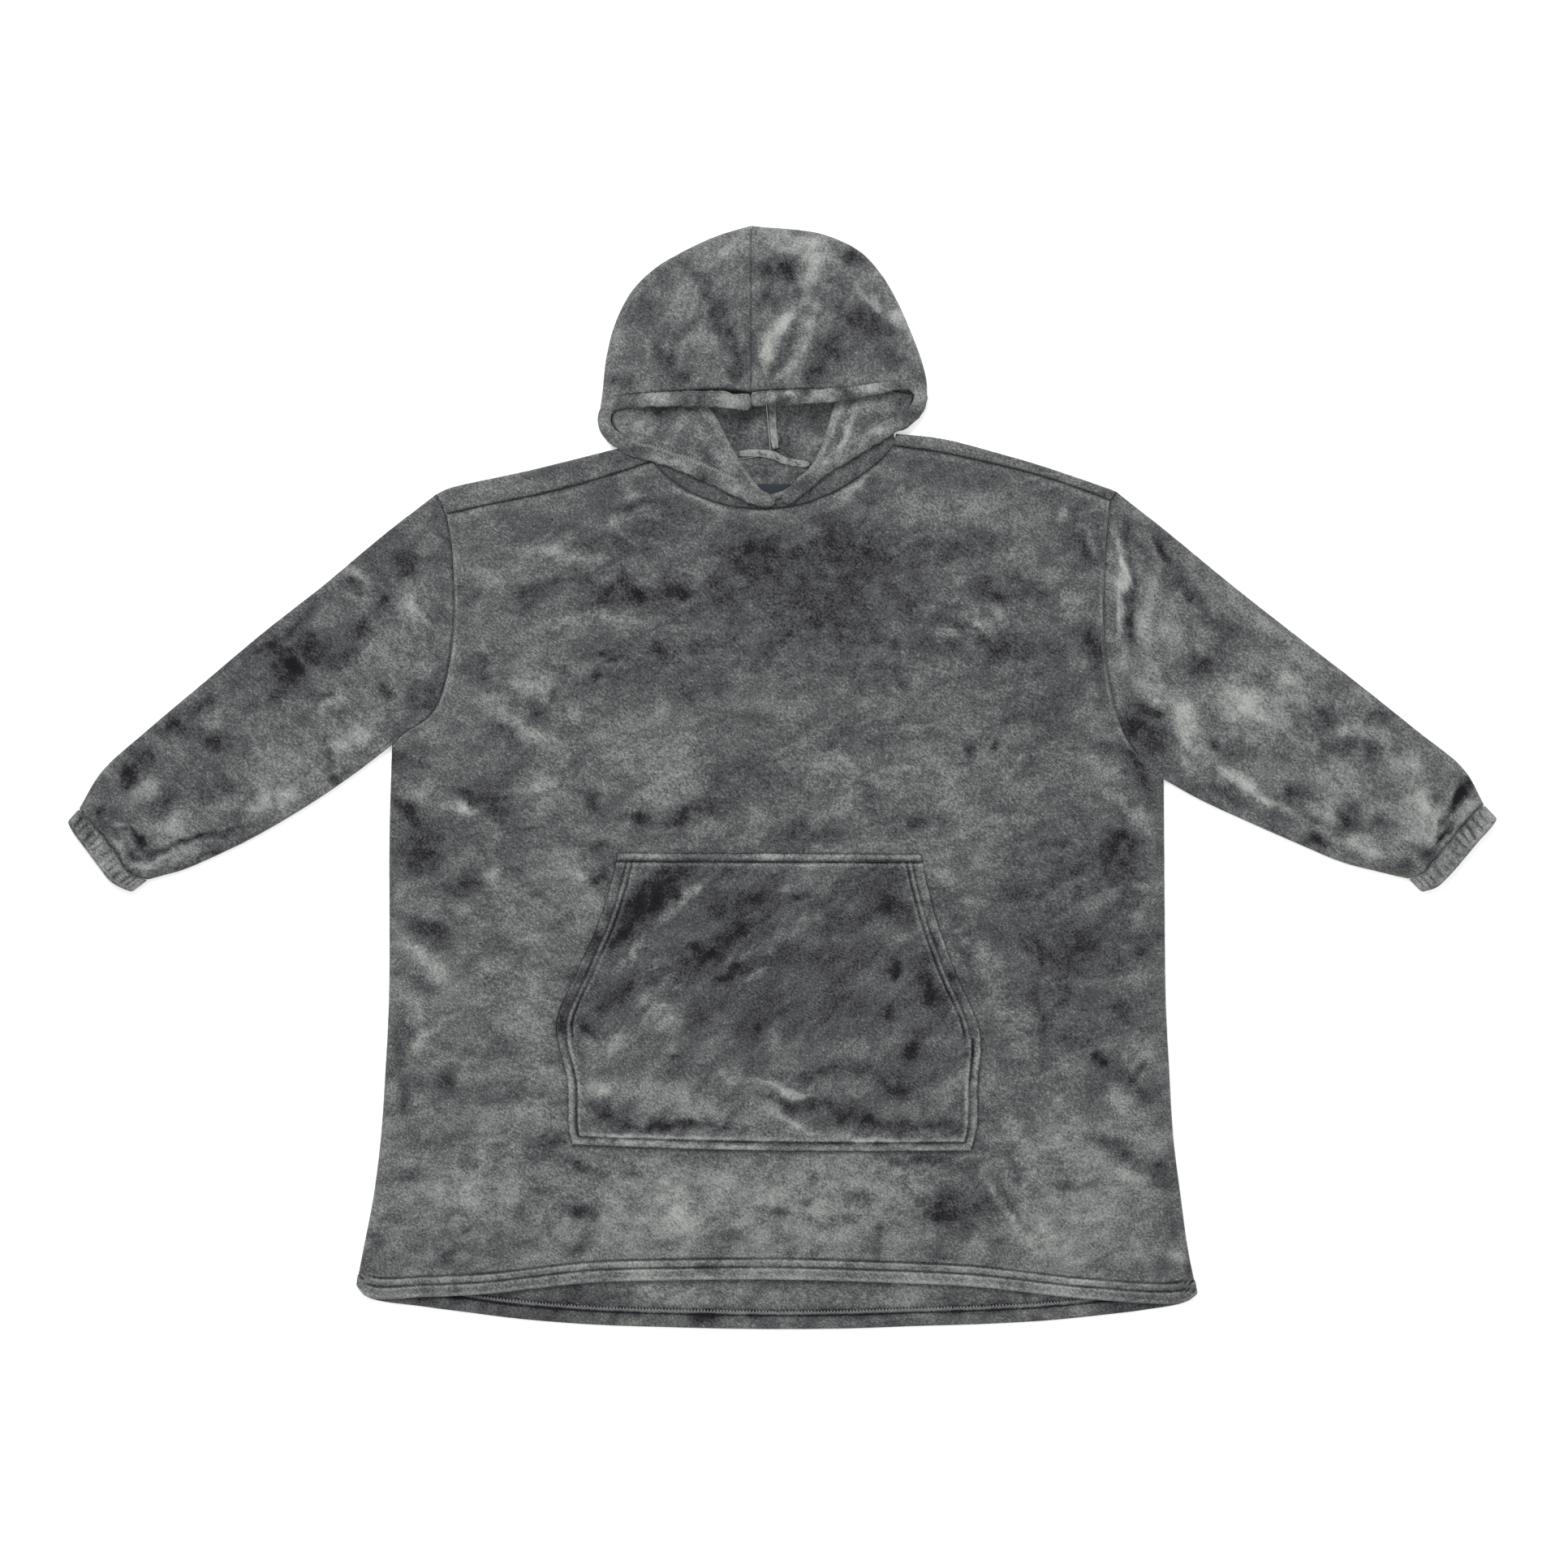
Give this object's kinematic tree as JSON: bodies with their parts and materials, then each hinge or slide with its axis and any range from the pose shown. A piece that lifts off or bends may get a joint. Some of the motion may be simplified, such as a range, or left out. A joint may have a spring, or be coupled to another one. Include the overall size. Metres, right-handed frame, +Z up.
{
  "type": "fleece hoodie",
  "caption": "Oversize pullover hoodie in plush fleece, laid flat with its sleeves spread, with a hood, a front pouch pocket and gathered cuffs.",
  "frame": {"origin": "on the surface the garment lies on, under the middle of its outline", "axes": "+X to the wearer's left sleeve, which is on the right in the picture, +Y from the hem towards the hood, +Z up from the surface towards the camera"},
  "size_m": [1.4096, 1.088, 0.0256],
  "materials": {
    "body_fleece": "plush pile, matt with a soft sheen",
    "sleeve_fleece": "plush pile, matt with a soft sheen",
    "cuff_fleece": "plush pile, gathered on elastic",
    "hood_fleece": "plush pile, matt with a soft sheen",
    "pocket_fleece": "plush pile, matt with a soft sheen",
    "label_tape": "woven tape, satin, bare"
  },
  "bodies": {
    "root": {"front": "body_fleece", "back": "body_fleece", "sleeve_left": "sleeve_fleece", "sleeve_right": "sleeve_fleece", "cuff_left": "cuff_fleece", "cuff_right": "cuff_fleece", "hood_left": "hood_fleece", "hood_right": "hood_fleece", "pocket": "pocket_fleece", "neck_label": "label_tape"}
  },
  "joints": []
}
